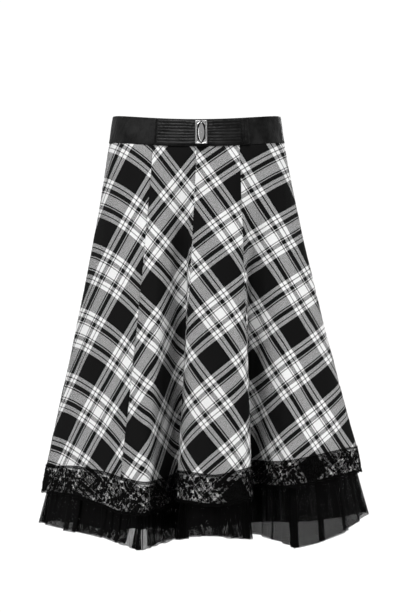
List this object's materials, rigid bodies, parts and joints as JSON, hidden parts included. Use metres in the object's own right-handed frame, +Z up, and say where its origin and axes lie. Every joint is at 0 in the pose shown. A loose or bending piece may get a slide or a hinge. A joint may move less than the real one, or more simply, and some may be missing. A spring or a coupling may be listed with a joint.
{
  "type": "plaid skirt",
  "caption": "Flared gored skirt in a bias check, with a satin waistband, a tucked sash and buckle, a lace trim at the hem and a tulle flounce below.",
  "frame": {"origin": "middle of the waist opening, at half the height of the waistband", "axes": "+Z up along the wearer's body, the front faces -Y, +X is the right of a front view"},
  "size_m": [0.4852, 0.2983, 0.6175],
  "materials": {
    "plaid": "woven twill",
    "lace": "lace",
    "tulle": "sheer net",
    "band": "satin",
    "buckle": "polished",
    "stone": "polished faceless dome"
  },
  "bodies": {
    "root": {"gore_front_left_side": "plaid", "gore_front_left": "plaid", "gore_front_right": "plaid", "gore_front_right_side": "plaid", "gore_back_right_side": "plaid", "gore_back_right": "plaid", "gore_back_left": "plaid", "gore_back_left_side": "plaid", "lace_front": "lace", "lace_back": "lace", "tulle_front": "tulle", "tulle_back": "tulle", "waistband_front": "band", "waistband_back": "band", "sash": "band", "keeper_left": "band", "keeper_right": "band", "buckle_frame": "buckle", "buckle_stone": "stone"}
  },
  "joints": []
}
